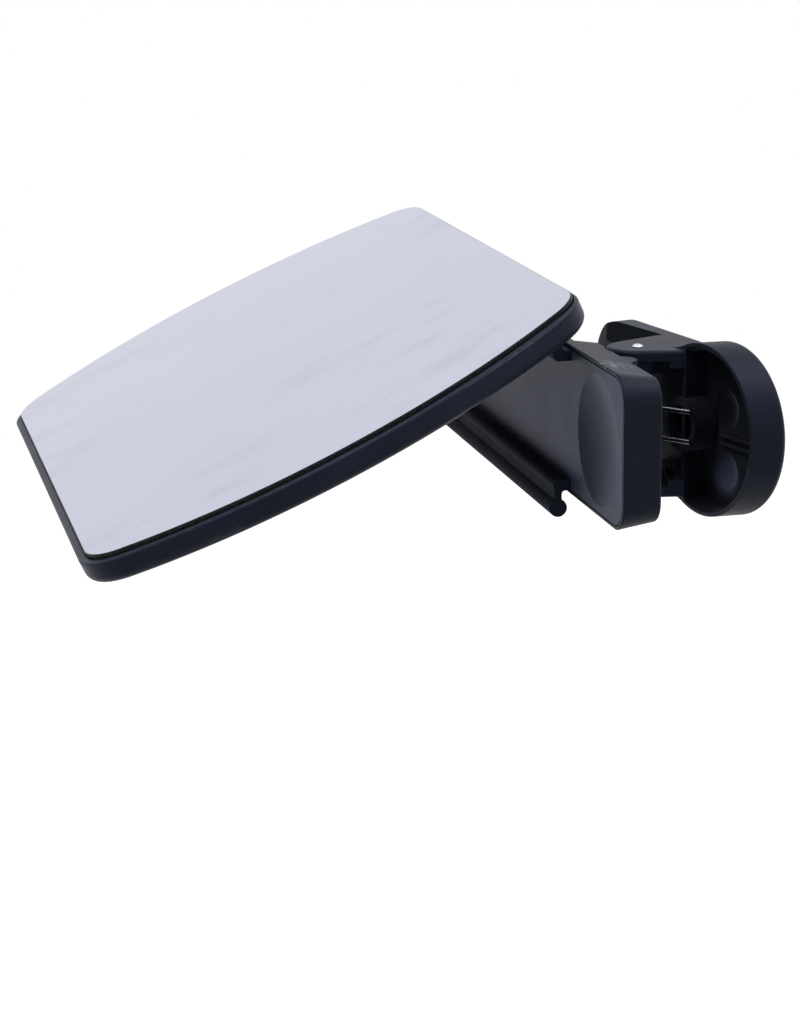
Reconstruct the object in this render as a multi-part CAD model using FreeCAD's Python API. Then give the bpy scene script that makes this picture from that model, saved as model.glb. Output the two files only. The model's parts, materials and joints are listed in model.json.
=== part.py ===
import FreeCAD, Part
import math
import os

# Mirror on a spring clip: two sprung levers, and a mirror tray snapped on one of the front lever's rails.
# Millimetres. The origin is on the front pad's gripping face, opposite the rear pad.
# +X runs along the clip to its handle end, +Y from the front jaw to the rear jaw, +Z along the pivot pin.

V = FreeCAD.Vector
X_AXIS = V(1, 0, 0)
Y_AXIS = V(0, 1, 0)
Z_AXIS = V(0, 0, 1)
CENTRE = V(0, 0, 0)

# What the jaws hold apart in the pose that is modelled
grip_gap = 8.1

# Front lever: a moulded shell with a face plate let into it and a pad behind it
face_half_height = 9.7
face_thickness = 0.95
face_seam = 0.2
shell_lip = 0.45
shell_web = 0.8
front_pad_thickness = 0.6
front_pad_inset = 1.6
shell_draft = 8.5
shell_corner_radius = 3.9
shell_edge_round = 0.4
shell_front_round = 0.2
jaw_end_x = 44.1
block_start_x = 16.2
block_back_y = 3.05
block_wall = 1.3
block_lobe_width = 4.4
block_lobe_height = 1.5
block_lobe_inset = 0.1

# Thumb dish in the face plate
dish_radius = 8.8
dish_depth = 1.5
dish_centre_x = 32.9
dish_wall = 1.0
dish_clearance = 0.12

# Bead rails along both long edges of the face plate
rail_length = 66.8
rail_centre_x = -12.5
rail_flange_reach = 2.5
rail_flange_thickness = 1.45
rail_flange_round = 0.65
rail_neck_width = 1.0
rail_bead_radius = 1.25
rail_bead_offset_y = 1.78
rail_bead_rise = 2.4
rail_root_round = 0.5
rail_end_margin = 4.0

# Pivot and ears; the pin's domed ends stand a little proud of the rear ears
pivot_x = 21.0
pivot_y = 6.95
pin_radius = 0.9
pin_running_clearance = 0.05
pin_proud = 0.25
pin_dome = 0.45
rear_ear_thickness = 1.45
ear_gap = 0.5
front_ear_thickness = 1.6
front_ear_radius = 3.9
front_ear_start_x = 17.0
front_ear_end_x = 23.7
ear_notch_gap = 0.3
rear_ear_radius = 4.2

# Rear lever, in its own frame: d along it towards the cup, n from the pivot to its back
lever_half_height = 10.14
lever_drop = 0.28
lever_angle = 14.6
lever_floor_n = 7.3
lever_floor_thickness = 2.0
lever_side_wall = 2.4
lever_edge_round = 0.4
lever_back_slope = 4.0
tip_end_d = -24.6
tip_corner_radius = 8.5
ear_root_d = -5.5
ear_pocket_radius = 5.6
ear_root_near_d = 6.3
ear_edge_round = 0.5
chord_wall_d = 5.6
chord_wall_thickness = 0.8

# Round thumb cup at the end of the rear lever; its wall leans away from the pivot
cup_centre_d = 10.3
cup_inner_radius = 10.86
cup_wall = 0.84
cup_lean = 14.6
cup_blend_radius = 10.0
cup_rim_n = 3.56
cup_back_n = 8.5
cup_floor_n = 6.9
cup_back_round = 0.9
cup_rim_round = 0.12
cup_mouth_bevel = 0.3
cup_rib_width = 0.35
cup_rib_height = 0.3
cup_rib_offset = 0.56
cup_rib_start_d = 10.3
cup_dimple_radius = 2.7
cup_dimple_depth = 0.8
cup_dimple_d = 11.4
cup_dimple_offset = 4.27
cup_feature_z = -1.6

# Hollow post that the spring's legs bear on
post_d = 5.9
post_radius = 3.7
post_wall = 1.0
post_top_n = 2.95

# Soft pad on the rear jaw's toe
rear_pad_thickness = 1.0
rear_pad_half_height = 6.5
rear_pad_corner = 5.0
rear_pad_start_x = -3.6
rear_pad_end_x = 4.4
toe_margin = 0.5

# Double torsion spring on the pin
wire_radius = 0.4
coil_radius = 1.5
coil_gap = 0.2
bend_swell = 0.01
rear_leg_height = 2.05
rear_leg_d = 9.2
bridge_height = 5.85
bridge_x = 25.3

# Mirror glass
mirror_tilt = 25.1
mirror_centre_x = -11.8
glass_thickness = 1.8
glass_depth = 71.5
glass_half_width = 55.7
glass_near_half = 45.05
glass_far_half = 46.1
glass_corner_radius = 7.4
glass_proud = 0.65
glass_arris = 0.15
glass_near_s = -2.06

# Mirror tray with its C-shaped hinge
tray_margin = 1.15
tray_near_margin = 0.4
tray_height = 3.35
tray_bottom_round = 1.4
tray_top_round = 0.3
tray_floor = 1.2
tray_gap_to_bead = 3.03
pocket_clearance = 0.15
tape_thickness = 0.3
tape_inset = 0.5
tape_width = 4.5
snap_clearance = 0.08
snap_wall = 0.95
snap_half_mouth = 60.0
snap_length = 52.0

# Levels and outlines worked out from the sizes above
web_back_y = -front_pad_thickness
web_front_y = web_back_y - shell_web
face_y = web_front_y - face_thickness
face_end_inset = shell_lip + face_seam
shell_half_height = face_half_height + face_end_inset
jaw_far_x = rail_centre_x - rail_length / 2 - rail_end_margin
bead_y = face_y - rail_bead_offset_y
bead_z = face_half_height + rail_bead_rise
front_ear_outer_z = lever_half_height - rear_ear_thickness - ear_gap
front_ear_inner_z = front_ear_outer_z - front_ear_thickness
lever_wall_inner_z = lever_half_height - lever_side_wall
lever_end_d = chord_wall_d + chord_wall_thickness
lever_back_n = lever_floor_n + lever_floor_thickness
plate_end_d = (lever_back_n - cup_back_n) / math.tan(math.radians(lever_back_slope))
cup_outer_radius = cup_inner_radius + cup_wall
toe_seat_y = grip_gap + rear_pad_thickness
bridge_y = web_back_y + wire_radius
snap_outer_radius = rail_bead_radius + snap_clearance + snap_wall
tray_rim_n = tray_gap_to_bead + tray_height
glass_top_n = tray_rim_n + glass_proud
glass_bottom_n = glass_top_n - glass_thickness
ledge_n = glass_bottom_n - tape_thickness
past = 1.0
overlap = 0.3
small = 1e-3
tiny = 1e-6


def box(low, high):
    return Part.makeBox(high[0] - low[0], high[1] - low[1], high[2] - low[2], V(*low))


def prism(edges, direction):
    """Solid swept from a closed loop of edges."""
    return Part.Face(Part.Wire(edges)).extrude(direction)


def line(a, b):
    return Part.LineSegment(a, b).toShape()


def arc(a, middle, b):
    return Part.Arc(a, middle, b).toShape()


def polar(radius, degrees, centre=(0.0, 0.0)):
    angle = math.radians(degrees)
    return (centre[0] + radius * math.cos(angle), centre[1] + radius * math.sin(angle))


def tangent_angle(point, radius, side):
    """Direction, from the circle's centre, of the place where a tangent from the point touches it."""
    toward = math.degrees(math.atan2(point[1], point[0]))
    return toward + side * math.degrees(math.acos(radius / math.hypot(*point)))


def rounded_rectangle(x0, x1, half_z, y, radius):
    """Closed wire that faces Y, with its four corners rounded."""
    k = radius * (1 - math.sqrt(0.5))
    z = half_z
    bottom = line(V(x0 + radius, y, -z), V(x1 - radius, y, -z))
    bottom_right = arc(V(x1 - radius, y, -z), V(x1 - k, y, -z + k), V(x1, y, -z + radius))
    right = line(V(x1, y, -z + radius), V(x1, y, z - radius))
    top_right = arc(V(x1, y, z - radius), V(x1 - k, y, z - k), V(x1 - radius, y, z))
    top = line(V(x1 - radius, y, z), V(x0 + radius, y, z))
    top_left = arc(V(x0 + radius, y, z), V(x0 + k, y, z - k), V(x0, y, z - radius))
    left = line(V(x0, y, z - radius), V(x0, y, -z + radius))
    bottom_left = arc(V(x0, y, -z + radius), V(x0 + k, y, -z + k), V(x0 + radius, y, -z))
    return Part.Wire([bottom, bottom_right, right, top_right, top, top_left, left, bottom_left])


def upright_slab(x0, x1, half_z, y0, y1, radius):
    """Slab that faces Y, with its four upright corners rounded."""
    return Part.Face(rounded_rectangle(x0, x1, half_z, y0, radius)).extrude(V(0, y1 - y0, 0))


def shell_slab(offset, y0, y1):
    """Slab inside the front lever's drafted outline, offset inwards from it."""
    wires = []
    for y in (y0, y1):
        inset = offset + (y - face_y) * math.tan(math.radians(shell_draft))
        x0 = jaw_far_x + inset
        x1 = jaw_end_x - inset
        wires.append(rounded_rectangle(x0, x1, shell_half_height - inset, y, shell_corner_radius - inset))
    return Part.makeLoft(wires, True, True)


def block_back_half_height():
    return shell_half_height - (block_back_y - face_y) * math.tan(math.radians(shell_draft))


def edges_where(shape, test):
    return [e for e in shape.Edges if test(e)]


def mirrored_z(shape):
    return shape.mirror(CENTRE, Z_AXIS)


def dropped(shape):
    """Takes a shape down with the rear lever, which hangs on the pin's side play."""
    shape.translate(V(0, 0, -lever_drop))
    return shape


def to_pivot(shape):
    shape.translate(V(pivot_x, pivot_y, 0))
    return shape


def lever_to_rest(shape):
    """Takes a shape from the rear lever's own frame to its place in the clip."""
    shape.rotate(CENTRE, Z_AXIS, lever_angle)
    return dropped(to_pivot(shape))


def lever_point(d, n, z):
    angle = math.radians(lever_angle)
    x = pivot_x + d * math.cos(angle) - n * math.sin(angle)
    y = pivot_y + d * math.sin(angle) + n * math.cos(angle)
    return V(x, y, z)


def tray_to_rest(shape):
    """Takes a shape from the tray's level frame, with its axis at the origin, to its place on the rail."""
    shape.rotate(CENTRE, X_AXIS, mirror_tilt)
    shape.translate(V(0, bead_y, bead_z))
    return shape


def dish_ball(extra):
    """Ball that the thumb dish is cut with, grown by extra."""
    ball_radius = (dish_radius ** 2 + dish_depth ** 2) / (2 * dish_depth)
    centre = V(dish_centre_x, face_y + dish_depth - ball_radius, 0)
    return Part.makeSphere(ball_radius + extra, centre)


def front_ears():
    """Two ears inside the rear lever's ears, with their feet filled out to the block's walls."""
    left = (front_ear_start_x - pivot_x, web_back_y - pivot_y)
    right = (front_ear_end_x - pivot_x, web_back_y - pivot_y)
    touch_left = polar(front_ear_radius, tangent_angle(left, front_ear_radius, -1))
    touch_right = polar(front_ear_radius, tangent_angle(right, front_ear_radius, +1))
    nose = (0.0, front_ear_radius)
    z0 = front_ear_inner_z
    points = [V(p[0], p[1], z0) for p in (left, touch_left, nose, touch_right, right)]
    loop = [line(points[0], points[1]), arc(points[1], points[2], points[3])]
    loop += [line(points[3], points[4]), line(points[4], points[0])]
    ear = to_pivot(prism(loop, V(0, 0, front_ear_thickness)))
    foot = box(
        (front_ear_start_x, web_back_y, front_ear_inner_z),
        (front_ear_end_x, block_back_y, block_back_half_height() - overlap),
    )
    ear = ear.fuse(foot)
    return ear.fuse(mirrored_z(ear))


def ear_notches():
    """Room in the block's top and bottom walls for the rear lever's ears."""
    radius = rear_ear_radius + ear_notch_gap
    notch = Part.makeCylinder(radius, shell_half_height, V(pivot_x, pivot_y, front_ear_outer_z))
    return notch.fuse(mirrored_z(notch))


def block_lobes():
    """Small rounded rise of the block's top and bottom walls beside the rear lever's ears."""
    start = pivot_x + rear_ear_radius + ear_notch_gap
    end = start + block_lobe_width
    top = block_back_y + block_lobe_height
    z0 = block_back_half_height() - block_lobe_inset - block_wall
    base = block_back_y - past
    points = [V(start, base, z0), V(start, block_back_y, z0), V((start + end) / 2, top, z0)]
    points += [V(end, block_back_y, z0), V(end, base, z0)]
    loop = [line(points[0], points[1]), arc(points[1], points[2], points[3])]
    loop += [line(points[3], points[4]), line(points[4], points[0])]
    lobe = prism(loop, V(0, 0, block_wall))
    return lobe.fuse(mirrored_z(lobe))


def front_jaw():
    body = shell_slab(0.0, face_y, block_back_y)
    wide = 2 * shell_half_height
    past_back_y = block_back_y + past
    beside_block = box((jaw_far_x - past, web_back_y, -wide), (block_start_x, past_back_y, wide))
    body = body.cut(beside_block)
    back_rim = edges_where(body, lambda e: e.BoundBox.YMin > block_back_y - tiny)
    body = body.makeFillet(shell_edge_round, back_rim)
    front_rim = edges_where(body, lambda e: e.BoundBox.YMax < face_y + tiny)
    body = body.makeFillet(shell_front_round, front_rim)
    recess = upright_slab(
        jaw_far_x + shell_lip,
        jaw_end_x - shell_lip,
        shell_half_height - shell_lip,
        face_y - past,
        web_front_y,
        shell_corner_radius - shell_lip,
    )
    inside_block = box((block_start_x + block_wall, web_back_y, -wide), (jaw_end_x, past_back_y, wide))
    hollow = shell_slab(block_wall, web_back_y, past_back_y).common(inside_block)
    body = body.cut([recess, hollow]).fuse([front_ears(), block_lobes()])
    bore_radius = pin_radius + pin_running_clearance
    bore = to_pivot(Part.makeCylinder(bore_radius, 2 * front_ear_outer_z, V(0, 0, -front_ear_outer_z)))
    behind_plate = box((jaw_far_x, web_front_y, -wide), (jaw_end_x, past_back_y, wide))
    seat = dish_ball(dish_wall + dish_clearance).common(behind_plate)
    return body.cut([seat, ear_notches(), bore]).removeSplitter()


def rail():
    """Upper rail: a flange, a neck and a round bead that the tray's hinge grips."""
    x0 = rail_centre_x - rail_length / 2
    flange_low_z = face_half_height - rail_flange_thickness
    flange_tip_y = face_y - rail_flange_reach
    x1 = x0 + rail_length
    flange = box((x0, flange_tip_y, flange_low_z), (x1, face_y + overlap, face_half_height))
    tip_edges = edges_where(
        flange, lambda e: e.BoundBox.YMax < flange_tip_y + tiny and e.BoundBox.XLength > tiny
    )
    flange = flange.makeFillet(rail_flange_round, tip_edges)
    neck_y0 = bead_y - rail_neck_width / 2
    neck = box((x0, neck_y0, face_half_height - overlap), (x1, neck_y0 + rail_neck_width, bead_z))
    bead = Part.makeCylinder(rail_bead_radius, rail_length, V(x0, bead_y, bead_z), X_AXIS)
    body = flange.fuse([neck, bead]).removeSplitter()
    root = edges_where(
        body,
        lambda e: e.BoundBox.XLength > rail_length - tiny
        and abs(e.BoundBox.ZMax - face_half_height) < tiny
        and e.BoundBox.ZLength < tiny
        and abs(abs(e.BoundBox.YMax - bead_y) - rail_neck_width / 2) < tiny,
    )
    return body.makeFillet(rail_root_round, root)


def face_plate():
    plate = upright_slab(
        jaw_far_x + face_end_inset,
        jaw_end_x - face_end_inset,
        face_half_height,
        face_y,
        web_front_y,
        shell_corner_radius - face_end_inset,
    )
    behind_face = box(
        (dish_centre_x - 2 * dish_radius, face_y + overlap, -face_half_height),
        (dish_centre_x + 2 * dish_radius, block_back_y, face_half_height),
    )
    bulge = dish_ball(dish_wall).common(behind_face)
    plate = plate.fuse(bulge).cut(dish_ball(0.0))
    upper = rail()
    return plate.fuse([upper, mirrored_z(upper)]).removeSplitter()


def front_grip_pad():
    return upright_slab(
        jaw_far_x + front_pad_inset,
        block_start_x - front_pad_inset,
        shell_half_height - front_pad_inset,
        web_back_y,
        0.0,
        shell_corner_radius - front_pad_inset,
    )


def lever_back(d):
    """Height of the rear lever's sloping back, d along the lever from the pivot."""
    return lever_back_n - d * math.tan(math.radians(lever_back_slope))


def lever_plate():
    """Plate of the rear lever, thicker towards the jaw, with rounded corners at its tip."""
    half = lever_half_height
    profile = [V(tip_end_d, lever_floor_n, -half), V(plate_end_d, lever_floor_n, -half)]
    profile += [V(plate_end_d, cup_back_n, -half), V(tip_end_d, lever_back(tip_end_d), -half)]
    plate = prism([line(a, b) for a, b in zip(profile, profile[1:] + profile[:1])], V(0, 0, 2 * half))
    length = 2 * (plate_end_d - tip_end_d)
    outline = upright_slab(tip_end_d, tip_end_d + length, half, 0.0, 2 * lever_back_n, tip_corner_radius)
    plate = plate.common(outline)
    rim = edges_where(
        plate,
        lambda e: e.CenterOfMass.y > lever_back(e.CenterOfMass.x) - small
        and e.BoundBox.XLength > tiny,
    )
    tip_end = tip_end_d + tiny
    rim += edges_where(plate, lambda e: e.BoundBox.XMax < tip_end and e.CenterOfMass.y > lever_back_n)
    return plate.makeFillet(lever_edge_round, rim)


def toe_seat():
    """Wedge of the rear jaw between its sloping plate and the pad, which lies flat on what is held."""
    half = rear_pad_half_height + toe_margin
    low = (rear_pad_start_x - toe_margin, toe_seat_y, -half)
    high = (rear_pad_end_x, toe_seat_y + 2 * lever_floor_thickness, half)
    wedge = dropped(box(low, high))
    below_back = box(
        (tip_end_d, 0.0, -lever_half_height), (lever_end_d, lever_floor_n + overlap, lever_half_height)
    )
    return wedge.common(lever_to_rest(below_back))


def ear_pocket():
    """Room for the front lever's ears inside the rear lever."""
    half = lever_half_height - rear_ear_thickness
    return Part.makeCylinder(ear_pocket_radius, 2 * half, V(0, 0, -half))


def lever_walls():
    """Side walls of the rear lever, which rise into the ears round the pin."""
    left = (ear_root_d, lever_floor_n)
    right = (ear_root_near_d, cup_rim_n)
    touch_left = polar(rear_ear_radius, tangent_angle(left, rear_ear_radius, +1))
    touch_right = polar(rear_ear_radius, tangent_angle(right, rear_ear_radius, -1))
    nose = (0.0, -rear_ear_radius)
    top = lever_floor_n + overlap
    corners = (left, touch_left, nose, touch_right, right, (lever_end_d, cup_rim_n), (lever_end_d, top))
    points = [V(p[0], p[1], lever_wall_inner_z) for p in corners + ((ear_root_d, top),)]
    loop = [line(points[0], points[1]), arc(points[1], points[2], points[3])]
    loop += [line(a, b) for a, b in zip(points[3:], points[4:] + points[:1])]
    wall = prism(loop, V(0, 0, lever_side_wall))
    outer = edges_where(
        wall,
        lambda e: e.BoundBox.ZMin > lever_half_height - tiny
        and e.CenterOfMass.y < cup_rim_n - small
        and e.CenterOfMass.x < ear_root_near_d,
    )
    wall = wall.makeFillet(ear_edge_round, outer).cut(ear_pocket())
    return wall.fuse(mirrored_z(wall))


def cup_axis(n):
    """Middle of the leaning cup at height n."""
    return V(cup_centre_d + (n - cup_rim_n) * math.tan(math.radians(cup_lean)), n, 0)


def cup_disc(radius, n0, n1):
    ring = Part.Wire(Part.makeCircle(radius, cup_axis(n0), Y_AXIS))
    return Part.Face(ring).extrude(cup_axis(n1).sub(cup_axis(n0)))


def cup_block():
    """Outside of the cup, whose round wall runs in a broad hollow into the lever's flat sides."""
    half = lever_half_height
    reach = cup_outer_radius + cup_blend_radius
    blend_z = half + cup_blend_radius
    start = math.sqrt(reach ** 2 - blend_z ** 2)
    share = cup_outer_radius / reach
    halfway = (math.degrees(math.atan2(-blend_z, start)) - 90) / 2
    middle = polar(cup_blend_radius, halfway, (-start, blend_z))
    outline = [(-start, half), middle, (-start * share, blend_z * share)]
    outline += [(cup_outer_radius, 0.0)] + [(x, -z) for x, z in reversed(outline)]
    rim_centre = cup_axis(cup_rim_n)
    points = [rim_centre.add(V(x, 0, z)) for x, z in outline]
    loop = [arc(*points[0:3]), arc(*points[2:5]), arc(*points[4:7]), line(points[6], points[0])]
    block = prism(loop, cup_axis(cup_back_n).sub(rim_centre))
    curved = edges_where(block, lambda e: e.BoundBox.XLength > tiny and e.BoundBox.YLength < tiny)
    block = block.makeFillet(cup_back_round, [e for e in curved if e.BoundBox.YMin > cup_back_n - tiny])
    curved = edges_where(block, lambda e: e.BoundBox.XLength > tiny and e.BoundBox.YLength < tiny)
    return block.makeFillet(cup_rim_round, [e for e in curved if e.BoundBox.YMax < cup_rim_n + tiny])


def cup():
    """Round thumb cup, open towards the front lever, with two ribs and two dimples in its floor."""
    wide = 2 * cup_outer_radius
    open_side = box((lever_end_d, -wide, -wide), (lever_end_d + wide, wide, wide))
    bore = cup_disc(cup_inner_radius, cup_rim_n - past, cup_floor_n)
    narrow = Part.Wire(Part.makeCircle(cup_inner_radius, cup_axis(cup_rim_n + cup_mouth_bevel), Y_AXIS))
    mouth = Part.Wire(Part.makeCircle(cup_inner_radius + cup_mouth_bevel, cup_axis(cup_rim_n), Y_AXIS))
    bore = bore.fuse(Part.makeLoft([narrow, mouth], True, True)).common(open_side)
    inner_z = lever_wall_inner_z
    between_ears = box((-wide, -wide, -inner_z), (chord_wall_d, lever_floor_n, inner_z))
    shell = cup_block().cut([bore, between_ears, ear_pocket()])
    room = cup_disc(cup_inner_radius + overlap, cup_rim_n, cup_floor_n + overlap).common(open_side)
    ribs = []
    for side in (-1, 1):
        rib_z = cup_feature_z + side * cup_rib_offset
        rib = box(
            (cup_rib_start_d, cup_floor_n - cup_rib_height, rib_z - cup_rib_width / 2),
            (cup_centre_d + wide, cup_floor_n + overlap, rib_z + cup_rib_width / 2),
        )
        ribs.append(rib.common(room))
    return shell.fuse(ribs)


def cup_dimples():
    """Two round hollows in the cup's floor."""
    ball_radius = (cup_dimple_radius ** 2 + cup_dimple_depth ** 2) / (2 * cup_dimple_depth)
    ball_n = cup_floor_n - ball_radius + cup_dimple_depth
    upper_z = cup_feature_z + cup_dimple_offset
    lower_z = cup_feature_z - cup_dimple_offset
    balls = Part.makeSphere(ball_radius, V(cup_dimple_d, ball_n, upper_z))
    balls = balls.fuse(Part.makeSphere(ball_radius, V(cup_dimple_d, ball_n, lower_z)))
    wide = 2 * cup_outer_radius
    return balls.common(box((0.0, cup_floor_n - overlap, -wide), (wide, cup_back_n, wide)))


def chord_wall_and_post():
    """Straight wall across the cup's near side, and the hollow post that the spring bears on."""
    wall = box(
        (chord_wall_d, cup_rim_n, -lever_wall_inner_z - overlap),
        (lever_end_d, cup_floor_n + overlap, lever_wall_inner_z + overlap),
    )
    post_height = cup_floor_n + overlap - post_top_n
    post = Part.makeCylinder(post_radius, post_height, V(post_d, post_top_n, 0), Y_AXIS)
    above_post = box((chord_wall_d - past, 0.0, -post_radius), (lever_end_d + past, post_top_n, post_radius))
    bore = Part.makeCylinder(post_radius - post_wall, lever_floor_n, V(post_d, 0, 0), Y_AXIS)
    return wall.cut(above_post).fuse(post).cut(bore)


def rear_lever():
    lever = lever_plate().fuse([lever_walls(), cup(), chord_wall_and_post()]).cut(cup_dimples())
    lever = lever_to_rest(lever)
    wide = 2 * lever_half_height
    pad_room = box((rear_pad_start_x - wide, 0.0, -wide), (rear_pad_end_x, toe_seat_y, wide))
    lever = lever.cut(pad_room).fuse(toe_seat())
    hole = to_pivot(Part.makeCylinder(pin_radius, 2 * wide, V(0, 0, -wide)))
    return lever.cut(hole).removeSplitter()


def rear_grip_pad():
    pad = box(
        (rear_pad_start_x, grip_gap, -rear_pad_half_height),
        (rear_pad_end_x, grip_gap + rear_pad_thickness, rear_pad_half_height),
    )
    tip_corners = edges_where(
        pad, lambda e: e.BoundBox.XMax < rear_pad_start_x + tiny and e.BoundBox.ZLength < tiny
    )
    return dropped(pad.makeFillet(rear_pad_corner, tip_corners))


def pivot_pin():
    half = lever_half_height + pin_proud - pin_dome
    pin = Part.makeCylinder(pin_radius, 2 * half, V(0, 0, -half))
    ball_radius = (pin_radius ** 2 + pin_dome ** 2) / (2 * pin_dome)
    ball = Part.makeSphere(ball_radius, V(0, 0, half + pin_dome - ball_radius))
    dome = ball.common(box((-pin_radius, -pin_radius, half), (pin_radius, pin_radius, half + 2 * pin_dome)))
    return dropped(to_pivot(pin.fuse([dome, mirrored_z(dome)]).removeSplitter()))


def wire_run(points):
    """Round wire along straight runs, with a ball at each of its points."""
    pieces = []
    for start, end in zip(points, points[1:]):
        run = end.sub(start)
        pieces.append(Part.makeCylinder(wire_radius, run.Length, start, run))
        pieces.append(Part.makeSphere(wire_radius + bend_swell, start, run))
    return pieces + [Part.makeSphere(wire_radius + bend_swell, points[-1], run)]


def torsion_spring():
    """Double spring of one wire: legs on the rear lever's post, two coils, a bridge on the front lever."""
    rear_end = lever_point(rear_leg_d, post_top_n - wire_radius, 0)
    rear_out = (rear_end.x - pivot_x, rear_end.y - pivot_y)
    bridge_out = (bridge_x - pivot_x, bridge_y - pivot_y)
    start_angle = tangent_angle(rear_out, coil_radius, -1)
    end_angle = tangent_angle(bridge_out, coil_radius, +1)
    height = bridge_height - rear_leg_height
    full_turns = int(height / (2 * wire_radius + coil_gap))
    sweep = (start_angle - end_angle) % 360 + 360 * full_turns
    path = Part.makeHelix(height * 360 / sweep, height, coil_radius, 0, True)
    path.rotate(CENTRE, Z_AXIS, start_angle)
    path.translate(V(0, 0, rear_leg_height))
    first = path.Edges[0]
    last = path.Edges[-1]
    coil_start = first.valueAt(first.FirstParameter)
    coil_end = last.valueAt(last.LastParameter)
    ring = Part.Wire(Part.makeCircle(wire_radius, coil_start, first.tangentAt(first.FirstParameter)))
    coil = Part.Wire(path.Edges).makePipeShell([ring], True, True)
    rear_leg = wire_run([V(rear_out[0], rear_out[1], rear_leg_height), coil_start])
    bend = V(bridge_out[0], bridge_out[1], bridge_height)
    bridge = wire_run([coil_end, bend, V(bend.x, bend.y, 0)])[:-1]
    half = coil.fuse(rear_leg + bridge)
    return to_pivot(half.fuse(mirrored_z(half)).removeSplitter())


def end_arc(half_near, half_middle, half_far, depth):
    """Centre and radius of the circle round the mirror's +X end: x from the tray's middle, s outwards."""
    near = V(half_near, 0, 0)
    middle = V(half_middle, depth / 2, 0)
    far = V(half_far, depth, 0)
    circle = arc(near, middle, far).Curve
    return circle.Center, circle.Radius


def mirror_blank(grow, near_grow, n0, n1):
    """The mirror's outline in the tray's level frame, grown by grow, and by near_grow at its near edge."""
    centre, radius = end_arc(glass_near_half, glass_half_width, glass_far_half, glass_depth)
    radius += grow
    near_s = -near_grow
    far_s = glass_depth + grow
    near_half = centre.x + math.sqrt(radius ** 2 - (near_s - centre.y) ** 2)
    far_half = centre.x + math.sqrt(radius ** 2 - (far_s - centre.y) ** 2)

    def at(x, s):
        return V(mirror_centre_x + x, -(glass_near_s + s), n0)

    loop = [line(at(-near_half, near_s), at(near_half, near_s))]
    loop.append(arc(at(near_half, near_s), at(centre.x + radius, centre.y), at(far_half, far_s)))
    loop.append(line(at(far_half, far_s), at(-far_half, far_s)))
    loop.append(arc(at(-far_half, far_s), at(-centre.x - radius, centre.y), at(-near_half, near_s)))
    blank = prism(loop, V(0, 0, n1 - n0))
    corners = edges_where(blank, lambda e: e.BoundBox.XLength < tiny and e.BoundBox.YLength < tiny)
    return blank.makeFillet(glass_corner_radius + grow, corners)


def mirror_tray():
    """Tray round the mirror's edge, with a C-shaped hinge under its near edge."""
    tray = mirror_blank(tray_margin, tray_near_margin, tray_gap_to_bead, tray_rim_n)
    low = edges_where(tray, lambda e: e.BoundBox.ZMax < tray_gap_to_bead + tiny)
    tray = tray.makeFillet(tray_bottom_round, low)
    high = edges_where(tray, lambda e: e.BoundBox.ZMin > tray_rim_n - tiny)
    tray = tray.makeFillet(tray_top_round, high)
    pocket = mirror_blank(pocket_clearance, pocket_clearance, ledge_n, tray_rim_n + past)
    well_inset = tape_inset + tape_width
    well = mirror_blank(-well_inset, -well_inset, tray_gap_to_bead + tray_floor, ledge_n + past)
    x0 = rail_centre_x - snap_length / 2
    ring = Part.makeCylinder(snap_outer_radius, snap_length, V(x0, 0, 0), X_AXIS)
    saddle_top = V(x0 + snap_length, snap_outer_radius, tray_gap_to_bead + overlap)
    saddle = box((x0, -snap_outer_radius, 0), saddle_top)
    bore = Part.makeCylinder(rail_bead_radius + snap_clearance, snap_length, V(x0, 0, 0), X_AXIS)
    reach = 2 * snap_outer_radius
    side = math.radians(snap_half_mouth)
    corners = [V(x0, 0, 0), V(x0, -reach * math.sin(side), -reach * math.cos(side))]
    corners += [V(x0, 0, -2 * reach), V(x0, reach * math.sin(side), -reach * math.cos(side))]
    mouth = prism([line(a, b) for a, b in zip(corners, corners[1:] + corners[:1])], V(snap_length, 0, 0))
    hinge = ring.fuse(saddle).cut([bore, mouth])
    tray = tray.cut([pocket, well]).fuse(hinge)
    return tray_to_rest(tray.removeSplitter())


def mirror_tape():
    """Frame of double-sided tape on the tray's ledge."""
    inner = tape_inset + tape_width
    sheet = mirror_blank(-tape_inset, -tape_inset, ledge_n, glass_bottom_n)
    middle = mirror_blank(-inner, -inner, ledge_n - past, glass_bottom_n + past)
    return tray_to_rest(sheet.cut(middle))


def mirror_glass():
    glass = mirror_blank(0.0, 0.0, glass_bottom_n, glass_top_n)
    rims = edges_where(glass, lambda e: e.BoundBox.ZLength < tiny)
    return tray_to_rest(glass.makeChamfer(glass_arris, rims))


NODES = {
    "front_jaw": front_jaw,
    "face_plate": face_plate,
    "front_grip_pad": front_grip_pad,
    "rear_lever": rear_lever,
    "rear_grip_pad": rear_grip_pad,
    "pivot_pin": pivot_pin,
    "torsion_spring": torsion_spring,
    "mirror_tray": mirror_tray,
    "mirror_tape": mirror_tape,
    "mirror_glass": mirror_glass,
}

os.makedirs("parts", exist_ok=True)
for node, make in NODES.items():
    shape = make()
    solids = shape.Solids
    solid = solids[0] if len(solids) == 1 else Part.makeCompound(solids)
    print(node, "solids", len(solids), "valid", solid.isValid(), "volume", round(solid.Volume, 1))
    solid.exportStep(f"parts/{node}.step")
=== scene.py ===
import json
import math

import bpy
from mathutils import Matrix, Vector


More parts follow.
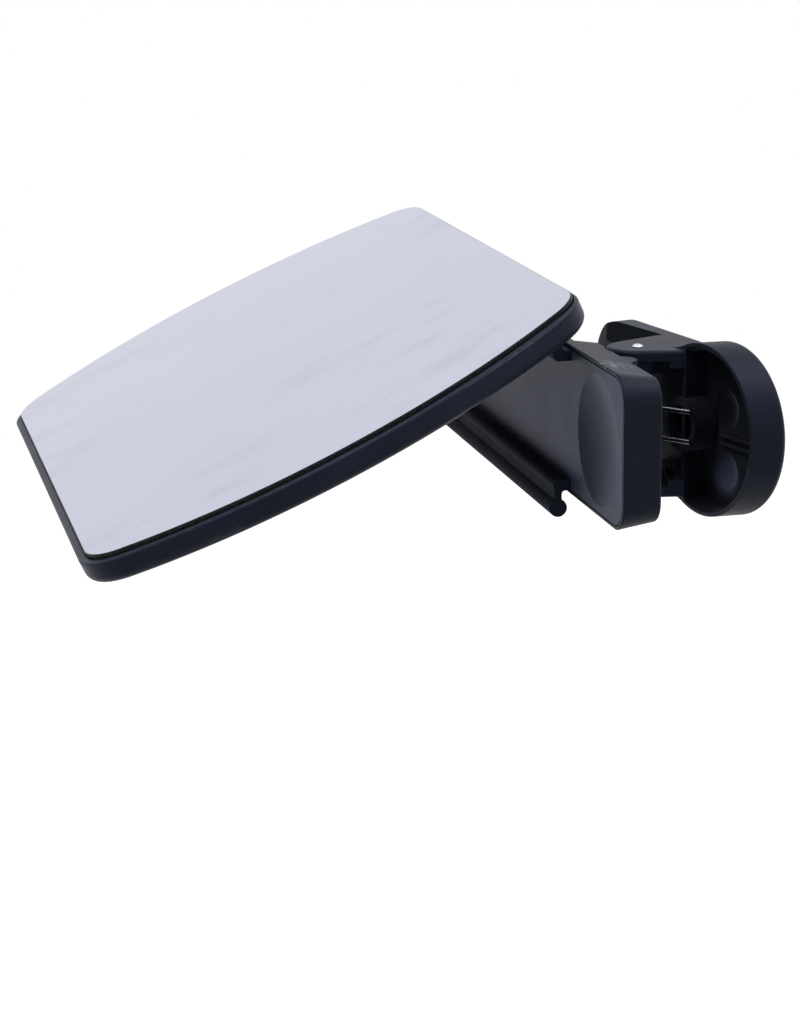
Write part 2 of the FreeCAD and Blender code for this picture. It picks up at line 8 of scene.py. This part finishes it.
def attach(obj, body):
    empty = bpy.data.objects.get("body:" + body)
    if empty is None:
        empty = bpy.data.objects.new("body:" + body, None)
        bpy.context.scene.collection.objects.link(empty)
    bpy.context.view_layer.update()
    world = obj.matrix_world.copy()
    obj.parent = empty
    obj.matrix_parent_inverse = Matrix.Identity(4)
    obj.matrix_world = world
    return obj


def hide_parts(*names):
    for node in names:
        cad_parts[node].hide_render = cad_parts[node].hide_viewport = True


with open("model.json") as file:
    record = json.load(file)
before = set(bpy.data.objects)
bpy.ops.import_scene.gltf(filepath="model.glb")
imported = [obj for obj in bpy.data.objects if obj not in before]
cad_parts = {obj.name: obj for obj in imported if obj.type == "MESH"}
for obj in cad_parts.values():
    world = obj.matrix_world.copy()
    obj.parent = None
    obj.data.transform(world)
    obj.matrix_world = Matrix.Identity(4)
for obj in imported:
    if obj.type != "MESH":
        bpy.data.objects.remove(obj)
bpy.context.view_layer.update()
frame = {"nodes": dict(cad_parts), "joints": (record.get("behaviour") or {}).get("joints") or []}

# Scene objects are in metres, in the frame of the CAD: +X to the handle end, +Y from the front jaw to the
# rear lever, +Z along the pin. The sizes in this script are in millimetres, as in the part's source.
MM = 0.001
NODES = frame["nodes"]
JOINTS = {joint["name"]: joint for joint in frame["joints"]}
PIVOT = Vector(JOINTS["jaw_pivot"]["pos_m"]) / MM
FACE_Y = -2.35
MIRROR_TILT = math.radians(25.1)

# Rear lever, in its own frame from the pivot: d runs along it towards the cup, n across it towards its back
LEVER_ANGLE = math.radians(14.6)
LEVER_DROP = 0.28
CUP_CENTRE_D = 10.3
CUP_INNER_RADIUS = 10.86
CUP_RIM_N = 3.56
CUP_FLOOR_N = 6.9
CUP_BACK_N = 8.5
HOLLOW_START_D = 2.5
HOLLOW_END_D = 15.0
HOLLOW_HALF_HEIGHT = 7.4


# Materials

class Shader:
    """A procedural material, built with a few short calls."""

    def __init__(self, name):
        self.material = bpy.data.materials.new(name)
        self.material.use_nodes = True
        self.tree = self.material.node_tree
        self.bsdf = self.tree.nodes["Principled BSDF"]
        self.coordinates = self.tree.nodes.new("ShaderNodeTexCoord").outputs["Object"]

    def set(self, **sockets):
        """Values that are the same all over the surface."""
        for name, value in sockets.items():
            self.bsdf.inputs[name.replace("_", " ")].default_value = value

    def drive(self, name, source):
        """A value that changes over the surface."""
        self.link(source, self.bsdf.inputs[name])

    def link(self, source, target):
        self.tree.links.new(source, target)

    def node(self, kind, **values):
        made = self.tree.nodes.new("ShaderNode" + kind)
        for name, value in values.items():
            setattr(made, name, value)
        return made

    def scaled(self, scale=(1, 1, 1)):
        """Object coordinates in millimetres, multiplied along each axis by scale."""
        mapping = self.node("Mapping")
        mapping.inputs["Scale"].default_value = [s / MM for s in scale]
        self.link(self.coordinates, mapping.inputs["Vector"])
        return mapping.outputs["Vector"]

    def split(self, vector):
        parts = self.node("SeparateXYZ")
        self.link(vector, parts.inputs[0])
        return parts.outputs

    def normal(self):
        return self.node("TexCoord").outputs["Normal"]

    def noise(self, size, detail=3.0, roughness=0.5, stretch=(1, 1, 1)):
        """Noise with features about size millimetres across, longer along an axis with a stretch above 1."""
        made = self.node("TexNoise")
        made.inputs["Scale"].default_value = 1.0
        made.inputs["Detail"].default_value = detail
        made.inputs["Roughness"].default_value = roughness
        self.link(self.scaled([1 / (size * s) for s in stretch]), made.inputs["Vector"])
        return made.outputs["Fac"]

    def ramp(self, factor, low, high, to_low=0.0, to_high=1.0):
        """Straight line from (low, to_low) to (high, to_high), held level outside."""
        made = self.node("MapRange", clamp=True)
        made.inputs["From Min"].default_value = low
        made.inputs["From Max"].default_value = high
        made.inputs["To Min"].default_value = to_low
        made.inputs["To Max"].default_value = to_high
        self.link(factor, made.inputs["Value"])
        return made.outputs["Result"]

    def fall(self, factor, low, high):
        """1 up to low, falling in a straight line to 0 at high."""
        return self.ramp(factor, low, high, 1.0, 0.0)

    def math(self, operation, a, b=0.0):
        made = self.node("Math", operation=operation)
        for socket, value in zip(made.inputs, (a, b)):
            if isinstance(value, (int, float)):
                socket.default_value = value
            else:
                self.link(value, socket)
        return made.outputs["Value"]

    def times(self, *factors):
        """Product of several factors."""
        product = factors[0]
        for factor in factors[1:]:
            product = self.math("MULTIPLY", product, factor)
        return product

    def mix(self, factor, a, b):
        """Colour a where the factor is 0 and b where it is 1."""
        made = self.node("Mix", data_type="RGBA")
        self.link(factor, made.inputs["Factor"])
        for socket, value in zip((made.inputs[6], made.inputs[7]), (a, b)):
            if isinstance(value, (tuple, list)):
                socket.default_value = (*value, 1.0)
            else:
                self.link(value, socket)
        return made.outputs[2]

    def near(self, place, reach):
        """1 within half the reach of a place in millimetres, falling to 0 at the reach."""
        distance = self.node("VectorMath", operation="DISTANCE")
        self.link(self.scaled(), distance.inputs[0])
        distance.inputs[1].default_value = place
        return self.fall(distance.outputs["Value"], 0.5 * reach, reach)

    def bump(self, height, distance):
        """Bump from a height of 0 to 1, which stands for a distance in millimetres."""
        made = self.node("Bump")
        made.inputs["Strength"].default_value = 1.0
        made.inputs["Distance"].default_value = distance * MM
        self.link(height, made.inputs["Height"])
        self.link(made.outputs["Normal"], self.bsdf.inputs["Normal"])


def linear(value):
    """Linear value of one 0-255 screen value."""
    share = value / 255
    return share / 12.92 if share <= 0.04045 else ((share + 0.055) / 1.055) ** 2.4


def rgb(red, green, blue):
    """Linear colour from 0-255 screen values."""
    return linear(red), linear(green), linear(blue)


def shade(colour, factor):
    return tuple(c * factor for c in colour)


# Plastics

SHELL_COLOUR = rgb(15, 17, 27)
FACE_COLOUR = rgb(55, 60, 82)
TRAY_COLOUR = rgb(27, 30, 41)
RUBBER_COLOUR = rgb(25, 26, 29)
TAPE_COLOUR = rgb(60, 60, 60)
# Painted shade: darker colours for the rails and for their ends that face +X
RAIL_PAINTED_SHADE = rgb(30, 33, 46)
RAIL_END_PAINTED_SHADE = rgb(24, 27, 38)
SCUFF_COLOUR = rgb(118, 121, 132)
# Painted highlight: a paler colour on the cup's lower dimple
CUP_PAINTED_HIGHLIGHT_COLOUR = rgb(50, 55, 72)
BLUISH_GLOSS = (0.62, 0.74, 1.0, 1.0)
BLUISH_SHEEN = (0.78, 0.86, 1.0, 1.0)

# How much lighter or darker than the plastic's own colour: random clouds and flecks, and the painted shade
# in the hollow
CLOUD_LIGHT = 1.35
FLECK_LIGHT = 2.6
HOLLOW_PAINTED_SHADE = 0.5

# Share of the grain that is left in the hollow, and what is added to the roughness there and on the rails
HOLLOW_GRAIN = 0.1
HOLLOW_DULL = 0.4
RAIL_DULL = 0.3

# Millimetres across, for each kind of unevenness
CLOUD_SIZE = 11.0
GLOSS_SIZE = 6.0

# Scratches: size and stretch of their noise, the value they follow and how far from it they fade
HAIR_SIZE = 0.7
HAIR_STRETCH = (2.5, 1.0, 1.0)
HAIR_VALUE = 0.56
HAIR_FADE = (0.012, 0.03)

# Radius and width of the low rings moulded round the pin on the ears, and their share of the bump's height
EAR_RINGS = ((2.0, 0.12), (3.6, 0.15))
RING_HEIGHT = 0.6

# Place and reach of the scratches on the block, and of the painted highlight on the cup's lower dimple
BLOCK_SCUFF = ((33.5, -0.8, 10.0), 3.5)
CUP_PAINTED_HIGHLIGHT = ((30.2, 16.9, -6.7), 3.4)


class Plastic(Shader):
    """Dull moulded plastic: slightly uneven in colour and gloss, with a fine grain."""

    def __init__(self, name, colour, rough, grain_size, grain_height, gloss_level, sheen):
        super().__init__(name)
        self.set(Specular_IOR_Level=gloss_level, Specular_Tint=BLUISH_GLOSS)
        self.set(Sheen_Weight=sheen, Sheen_Roughness=0.4, Sheen_Tint=BLUISH_SHEEN)
        self.colour = colour
        self.grain_height = grain_height
        cloud = self.ramp(self.noise(CLOUD_SIZE), 0.35, 0.65)
        self.height = self.noise(grain_size, roughness=0.6)
        fleck = self.ramp(self.height, 0.60, 0.78, to_high=0.7)
        self.tone = self.mix(cloud, colour, shade(colour, CLOUD_LIGHT))
        self.tone = self.mix(fleck, self.tone, shade(colour, FLECK_LIGHT))
        self.rough = self.ramp(self.noise(GLOSS_SIZE), 0.3, 0.7, rough - 0.02, rough + 0.03)

    def add_scuff(self, place, reach):
        """Thin pale scratches round a place: the lines along which a noise has one value."""
        hair = self.noise(HAIR_SIZE, roughness=0.6, stretch=HAIR_STRETCH)
        away = self.math("ABSOLUTE", self.math("SUBTRACT", hair, HAIR_VALUE))
        line = self.times(self.fall(away, *HAIR_FADE), self.near(place, reach))
        self.tone = self.mix(line, self.tone, SCUFF_COLOUR)
        self.height = self.math("SUBTRACT", self.height, line)

    def in_hollow(self):
        """1 in the hollow between the levers and inside the cup of the rear lever, 0 on its outside.

        Each ramp fades the mask over a short way, in millimetres, beside the size that it starts from."""
        turned = self.node("Mapping", vector_type="TEXTURE")
        turned.inputs["Location"].default_value = (PIVOT.x, PIVOT.y, -LEVER_DROP)
        turned.inputs["Rotation"].default_value = (0.0, 0.0, LEVER_ANGLE)
        self.link(self.scaled(), turned.inputs["Vector"])
        d, n, height = self.split(turned.outputs["Vector"])
        lean = self.math("MULTIPLY", self.math("SUBTRACT", n, CUP_RIM_N), math.tan(LEVER_ANGLE))
        across = self.math("SUBTRACT", self.math("SUBTRACT", d, CUP_CENTRE_D), lean)
        squares = self.math("ADD", self.times(across, across), self.times(height, height))
        radius = self.math("SQRT", squares)
        cup = self.times(
            self.fall(radius, CUP_INNER_RADIUS + 0.1, CUP_INNER_RADIUS + 0.3),
            self.ramp(n, CUP_RIM_N + 0.1, CUP_RIM_N + 0.7),
            self.fall(n, CUP_BACK_N - 0.6, CUP_BACK_N - 0.4),
        )
        above = self.math("ABSOLUTE", height)
        between = self.times(
            self.fall(above, HOLLOW_HALF_HEIGHT - 0.3, HOLLOW_HALF_HEIGHT),
            self.fall(n, CUP_FLOOR_N, CUP_FLOOR_N + 0.3),
            self.ramp(d, HOLLOW_START_D, HOLLOW_START_D + 1.5),
            self.fall(d, HOLLOW_END_D, HOLLOW_END_D + 1.0),
        )
        return self.math("MAXIMUM", cup, between)

    def smooth_hollow_with_painted_shade(self):
        """Painted shade in the hollow, which is darker there and also has less grain and more roughness; a
        painted highlight as a paler patch on the cup's lower dimple.
        """
        inside = self.in_hollow()
        # Painted highlight: a paler patch on the cup's lower dimple
        painted_highlight = self.times(inside, self.near(*CUP_PAINTED_HIGHLIGHT))
        # Painted shade: the colour is darker all over the hollow
        self.tone = self.mix(inside, self.tone, shade(self.colour, HOLLOW_PAINTED_SHADE))
        self.tone = self.mix(painted_highlight, self.tone, CUP_PAINTED_HIGHLIGHT_COLOUR)
        self.height = self.times(self.height, self.ramp(inside, 0.0, 1.0, 1.0, HOLLOW_GRAIN))
        self.rough = self.math("ADD", self.rough, self.times(inside, HOLLOW_DULL))

    def paint_shade_and_dull_rails(self):
        """Painted shade on the rails: darker on the ends that face +X, and darker and duller where the rails
        stand out from the face.
        """
        end = self.ramp(self.split(self.normal())["X"], 0.8, 0.95)
        rail = self.fall(self.split(self.scaled())["Y"], FACE_Y - 0.3, FACE_Y - 0.1)
        # Painted shade: darker colour on the ends that face +X and on the rails
        self.tone = self.mix(end, self.tone, RAIL_END_PAINTED_SHADE)
        self.tone = self.mix(rail, self.tone, RAIL_PAINTED_SHADE)
        self.rough = self.math("ADD", self.rough, self.times(rail, RAIL_DULL))

    def add_ring(self, radius, width):
        """Low ridge round the pivot's axis."""
        offset = self.node("VectorMath", operation="SUBTRACT")
        self.link(self.scaled((1, 1, 0)), offset.inputs[0])
        offset.inputs[1].default_value = (PIVOT.x, PIVOT.y, 0.0)
        distance = self.node("VectorMath", operation="LENGTH")
        self.link(offset.outputs["Vector"], distance.inputs[0])
        away = self.math("ABSOLUTE", self.math("SUBTRACT", distance.outputs["Value"], radius))
        self.height = self.math("ADD", self.height, self.ramp(away, 0.0, width, RING_HEIGHT, 0.0))

    def finished(self):
        self.drive("Base Color", self.tone)
        self.drive("Roughness", self.rough)
        self.bump(self.height, self.grain_height)
        return self.material


GRAINED = dict(rough=0.46, grain_size=0.20, grain_height=0.05, gloss_level=0.10, sheen=0.12)
SATIN = dict(grain_size=0.45, grain_height=0.003)
RUBBER = dict(rough=0.8, grain_size=0.35, grain_height=0.02, gloss_level=0.15, sheen=0.1)
FOAM = dict(rough=0.9, grain_size=0.3, grain_height=0.05, gloss_level=0.3, sheen=0.1)

shell = Plastic("shell_plastic_grained", SHELL_COLOUR, **GRAINED)
shell.add_scuff(*BLOCK_SCUFF)

lever = Plastic("lever_plastic_grained", SHELL_COLOUR, **GRAINED)
lever.smooth_hollow_with_painted_shade()
for ring_radius, ring_width in EAR_RINGS:
    lever.add_ring(ring_radius, ring_width)

face = Plastic("face_plastic_satin", FACE_COLOUR, rough=0.42, gloss_level=0.06, sheen=0.05, **SATIN)
face.paint_shade_and_dull_rails()

tray = Plastic("tray_plastic_satin", TRAY_COLOUR, rough=0.38, gloss_level=0.08, sheen=0.08, **SATIN)
rubber = Plastic("pad_rubber_matt", RUBBER_COLOUR, **RUBBER)
foam = Plastic("tape_foam", TAPE_COLOUR, **FOAM)


# Steel

# Millimetres across
STEEL_TINT_SIZE = 1.5
STEEL_POLISH_SIZE = 0.4


def steel(name, rough, dark, light):
    """Bright metal, slightly uneven in colour and polish."""
    shader = Shader(name)
    shader.set(Metallic=1.0)
    shader.drive("Base Color", shader.mix(shader.noise(STEEL_TINT_SIZE), dark, light))
    polish = shader.noise(STEEL_POLISH_SIZE)
    shader.drive("Roughness", shader.ramp(polish, 0.3, 0.7, rough - 0.05, rough + 0.08))
    return shader.material


pin_steel = steel("pin_steel_bright", 0.22, rgb(206, 207, 212), rgb(228, 229, 234))
spring_steel = steel("spring_steel_oiled", 0.2, rgb(96, 98, 104), rgb(140, 142, 148))


# Mirror

# Darkest and lightest tone of the silver, the ground edge and the narrow bevel between them
SILVER = (rgb(184, 187, 207), rgb(193, 196, 216))
GROUND_EDGE = (rgb(9, 14, 14), rgb(58, 68, 67))
BEVEL = (rgb(14, 20, 20), rgb(72, 82, 82))
SMEAR_COLOUR = rgb(174, 177, 194)

# Roughness of the clean and the smeared silver, and of the smoothest and the roughest part of the edge
SILVER_ROUGH = (0.02, 0.07)
EDGE_ROUGH = (0.3, 0.6)

# Millimetres across, and how much longer the smears are along each axis
SILVER_CLOUD_SIZE = 30.0
SMEAR_GROUP_SIZE = 22.0
SMEAR_SIZE = 8.0
SMEAR_STRETCH = (0.8, 1.7, 1.7)
SPECK_SIZE = 0.3


def mirror_material():
    """Silvered face with faint smears, and a dark ground edge wherever the glass turns away from it."""
    shader = Shader("mirror_silvered")
    shader.set(Specular_IOR_Level=0.15)
    facing = shader.node("VectorMath", operation="DOT_PRODUCT")
    shader.link(shader.normal(), facing.inputs[0])
    facing.inputs[1].default_value = (0.0, -math.sin(MIRROR_TILT), math.cos(MIRROR_TILT))
    face_share = shader.ramp(facing.outputs["Value"], 0.95, 0.97)
    bevel_share = shader.ramp(facing.outputs["Value"], 0.3, 0.5)

    streaks = shader.ramp(shader.noise(SMEAR_SIZE, detail=2.5, stretch=SMEAR_STRETCH), 0.50, 0.80)
    groups = shader.ramp(shader.noise(SMEAR_GROUP_SIZE, detail=2.0), 0.42, 0.62)
    smear = shader.times(streaks, groups)
    silver = shader.mix(shader.noise(SILVER_CLOUD_SIZE, detail=2.0), *SILVER)
    silver = shader.mix(smear, silver, SMEAR_COLOUR)

    speck = shader.noise(SPECK_SIZE, roughness=0.7)
    ground = shader.mix(shader.ramp(speck, 0.45, 0.7), *GROUND_EDGE)
    bevel = shader.mix(shader.ramp(speck, 0.4, 0.7), *BEVEL)
    edge = shader.mix(bevel_share, ground, bevel)
    shader.drive("Base Color", shader.mix(face_share, edge, silver))
    shader.drive("Metallic", face_share)

    face_rough = shader.ramp(smear, 0.0, 1.0, *SILVER_ROUGH)
    edge_rough = shader.ramp(speck, 0.3, 0.7, *EDGE_ROUGH)
    edge_share = shader.math("SUBTRACT", 1.0, face_share)
    rough = shader.math("ADD", shader.times(face_share, face_rough), shader.times(edge_share, edge_rough))
    shader.drive("Roughness", rough)
    return shader.material


# Materials on the pieces

shell_plastic = shell.finished()
pad_rubber = rubber.finished()
FINISHES = {
    "front_jaw": shell_plastic,
    "rear_lever": lever.finished(),
    "face_plate": face.finished(),
    "front_grip_pad": pad_rubber,
    "rear_grip_pad": pad_rubber,
    "pivot_pin": pin_steel,
    "torsion_spring": spring_steel,
    "mirror_tray": tray.finished(),
    "mirror_tape": foam.finished(),
    "mirror_glass": mirror_material(),
}
for node_name, finish in FINISHES.items():
    slots = NODES[node_name].data.materials
    if len(slots) == 0:
        slots.append(finish)
    for index in range(len(slots)):
        slots[index] = finish


# Spring wire, with the same sizes as in the part's source

WIRE_RADIUS = 0.4
WIRE_BEVEL_STEPS = 5
COIL_RADIUS = 1.5
COIL_GAP = 0.2
COIL_STEPS_PER_TURN = 36
REAR_LEG_HEIGHT = 2.05
REAR_LEG_D = 9.2
LEG_STEPS = 12
POST_TOP_N = 2.95
BRIDGE_HEIGHT = 5.85
BRIDGE_X = 25.3
BRIDGE_Y = -0.2
BEND_RADIUS = 0.9
BEND_STEPS = 8


def tangent_angle(point, radius, side):
    """Direction, from the circle's centre, of the place where a tangent from the point touches it."""
    return math.atan2(point.y, point.x) + side * math.acos(radius / math.hypot(point.x, point.y))


def bent(a, corner, b):
    """Points that go round the corner between a and b on a small curve."""
    start = corner + (a - corner).normalized() * BEND_RADIUS
    end = corner + (b - corner).normalized() * BEND_RADIUS
    points = []
    for step in range(BEND_STEPS + 1):
        t = step / BEND_STEPS
        points.append(start * (1 - t) ** 2 + corner * 2 * t * (1 - t) + end * t ** 2)
    return points


def upper_half():
    """Points of the spring's upper half, from the pivot: its leg, and its coil with half of the bridge."""
    leg_n = POST_TOP_N - WIRE_RADIUS
    leg_end = Vector((
        REAR_LEG_D * math.cos(LEVER_ANGLE) - leg_n * math.sin(LEVER_ANGLE),
        REAR_LEG_D * math.sin(LEVER_ANGLE) + leg_n * math.cos(LEVER_ANGLE),
        REAR_LEG_HEIGHT,
    ))
    bridge_bend = Vector((BRIDGE_X - PIVOT.x, BRIDGE_Y - PIVOT.y, BRIDGE_HEIGHT))
    coil_start = tangent_angle(leg_end, COIL_RADIUS, -1)
    coil_end = tangent_angle(bridge_bend, COIL_RADIUS, 1)
    coil_height = BRIDGE_HEIGHT - REAR_LEG_HEIGHT
    turns = int(coil_height / (2 * WIRE_RADIUS + COIL_GAP))
    sweep = (coil_start - coil_end) % math.tau + math.tau * turns
    steps = COIL_STEPS_PER_TURN * (turns + 1)
    coil = []
    for step in range(steps + 1):
        share = step / steps
        angle = coil_start - sweep * share
        coil.append(Vector((
            COIL_RADIUS * math.cos(angle),
            COIL_RADIUS * math.sin(angle),
            REAR_LEG_HEIGHT + coil_height * share,
        )))
    leg = [coil[0] + (leg_end - coil[0]) * (step / LEG_STEPS) for step in range(LEG_STEPS + 1)]
    below = Vector((bridge_bend.x, bridge_bend.y, -BRIDGE_HEIGHT))
    return leg, coil + bent(coil[-1], bridge_bend, below)


def upside_down(points):
    return [Vector((p.x, p.y, -p.z)) for p in points]


def wire(name, runs, body):
    """Round wire along each list of points, riding on a body."""
    data = bpy.data.curves.new(name, "CURVE")
    data.dimensions = "3D"
    data.bevel_depth = WIRE_RADIUS * MM
    data.bevel_resolution = WIRE_BEVEL_STEPS
    data.use_fill_caps = True
    for points in runs:
        spline = data.splines.new("POLY")
        spline.points.add(len(points) - 1)
        for target, point in zip(spline.points, points):
            target.co = (*((PIVOT + point) * MM), 1.0)
    piece = bpy.data.objects.new(name, data)
    bpy.context.scene.collection.objects.link(piece)
    data.materials.append(spring_steel)
    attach(piece, body)
    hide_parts("torsion_spring")


upper_leg, upper_coil = upper_half()
wire("spring_coils", [upper_coil + upside_down(reversed(upper_coil))], "front")
wire("spring_legs", [upper_leg, upside_down(upper_leg)], "rear")


# Room

WHITE = (1.0, 1.0, 1.0, 1.0)
SKY_COLOUR = (0.95, 0.96, 1.0, 1.0)
SKY_STRENGTH = 0.35
FLOOR_COLOUR = (0.34, 0.34, 0.34, 1.0)
FLOOR_ROUGHNESS = 0.9
FLOOR_GLOW = 0.74
FLOOR_Z = -114.0
FLOOR_HALF = 500.0


def seen_from_outside(tree):
    """1 for the camera, reflections and things seen through glass, 0 for light that falls on surfaces."""
    path = tree.nodes.new("ShaderNodeLightPath")
    seen = path.outputs["Is Camera Ray"]
    for other in ("Is Glossy Ray", "Is Transmission Ray"):
        either = tree.nodes.new("ShaderNodeMath")
        either.operation = "MAXIMUM"
        tree.links.new(seen, either.inputs[0])
        tree.links.new(path.outputs[other], either.inputs[1])
        seen = either.outputs["Value"]
    return seen


def white_world():
    """World that looks white and lights the clip with a weaker, slightly blue light."""
    world = bpy.data.worlds.new("studio")
    world.use_nodes = True
    tree = world.node_tree
    cast = tree.nodes["Background"]
    cast.inputs["Color"].default_value = SKY_COLOUR
    cast.inputs["Strength"].default_value = SKY_STRENGTH
    shown = tree.nodes.new("ShaderNodeBackground")
    shown.inputs["Color"].default_value = WHITE
    shown.inputs["Strength"].default_value = 1.0
    either = tree.nodes.new("ShaderNodeMixShader")
    tree.links.new(seen_from_outside(tree), either.inputs["Fac"])
    tree.links.new(cast.outputs[0], either.inputs[1])
    tree.links.new(shown.outputs[0], either.inputs[2])
    tree.links.new(either.outputs[0], tree.nodes["World Output"].inputs["Surface"])
    return world


def white_floor():
    """Grey floor with a glow that makes it look white and casts no light."""
    mesh = bpy.data.meshes.new("floor")
    signs = ((-1, -1), (1, -1), (1, 1), (-1, 1))
    corners = [(x * FLOOR_HALF * MM, y * FLOOR_HALF * MM, FLOOR_Z * MM) for x, y in signs]
    mesh.from_pydata(corners, [], [(0, 1, 2, 3)])
    made = bpy.data.objects.new("floor", mesh)
    bpy.context.scene.collection.objects.link(made)
    paint = bpy.data.materials.new("floor_white")
    paint.use_nodes = True
    tree = paint.node_tree
    bsdf = tree.nodes["Principled BSDF"]
    bsdf.inputs["Base Color"].default_value = FLOOR_COLOUR
    bsdf.inputs["Roughness"].default_value = FLOOR_ROUGHNESS
    bsdf.inputs["Emission Color"].default_value = WHITE
    glow = tree.nodes.new("ShaderNodeMath")
    glow.operation = "MULTIPLY"
    glow.inputs[1].default_value = FLOOR_GLOW
    tree.links.new(seen_from_outside(tree), glow.inputs[0])
    tree.links.new(glow.outputs["Value"], bsdf.inputs["Emission Strength"])
    mesh.materials.append(paint)
    return made


scene = bpy.context.scene
scene.world = white_world()

# The clip is held up by what it grips, so the floor lies well below it.
floor = white_floor()


# Lamps

# Name, place, target, side of the square lamp and power in watts
LAMPS = (
    ("key", (100, -350, 800), (0, 0, 0), 450, 6.0),
    ("rim", (170, 330, 800), (20, 0, 0), 300, 5.5),
    ("fill", (700, 500, 350), (0, 0, 0), 600, 0.5),
)

# The mirror reflects the white room but not the lamps, as a studio keeps them out of it with screens.
screened = bpy.data.collections.new("screened_from_lamps")
screened.objects.link(NODES["mirror_glass"])
screened.collection_objects[0].light_linking.link_state = "EXCLUDE"


def area_lamp(name, place, target, side, power):
    data = bpy.data.lights.new(name, "AREA")
    data.shape = "RECTANGLE"
    data.size = side * MM
    data.size_y = side * MM
    data.energy = power
    lamp = bpy.data.objects.new(name, data)
    scene.collection.objects.link(lamp)
    lamp.light_linking.receiver_collection = screened
    lamp.location = Vector(place) * MM
    lamp.rotation_euler = (Vector(target) - Vector(place)).to_track_quat("-Z", "Y").to_euler()


for lamp_values in LAMPS:
    area_lamp(*lamp_values)


# Camera, as the photo's perspective gives it

LENS = 92.98
SENSOR_HEIGHT = 36.0
CAMERA_PLACE = (360.471, -105.435, 78.431)
# In degrees: the direction from the clip to the camera, and the turn of the picture
CAMERA_AZIMUTH = -13.1163
CAMERA_ELEVATION = 14.5296
CAMERA_ROLL = -0.6606

camera_data = bpy.data.cameras.new("photo_camera")
camera_data.sensor_fit = "VERTICAL"
camera_data.sensor_height = SENSOR_HEIGHT
camera_data.lens = LENS
camera = bpy.data.objects.new("photo_camera", camera_data)
scene.collection.objects.link(camera)
heading = Matrix.Rotation(math.radians(90.0 + CAMERA_AZIMUTH), 4, "Z")
pitch = Matrix.Rotation(math.radians(90.0 - CAMERA_ELEVATION), 4, "X")
roll = Matrix.Rotation(math.radians(CAMERA_ROLL), 4, "Z")
camera.matrix_world = Matrix.Translation(Vector(CAMERA_PLACE) * MM) @ heading @ pitch @ roll
scene.camera = camera
scene.view_settings.view_transform = "Standard"
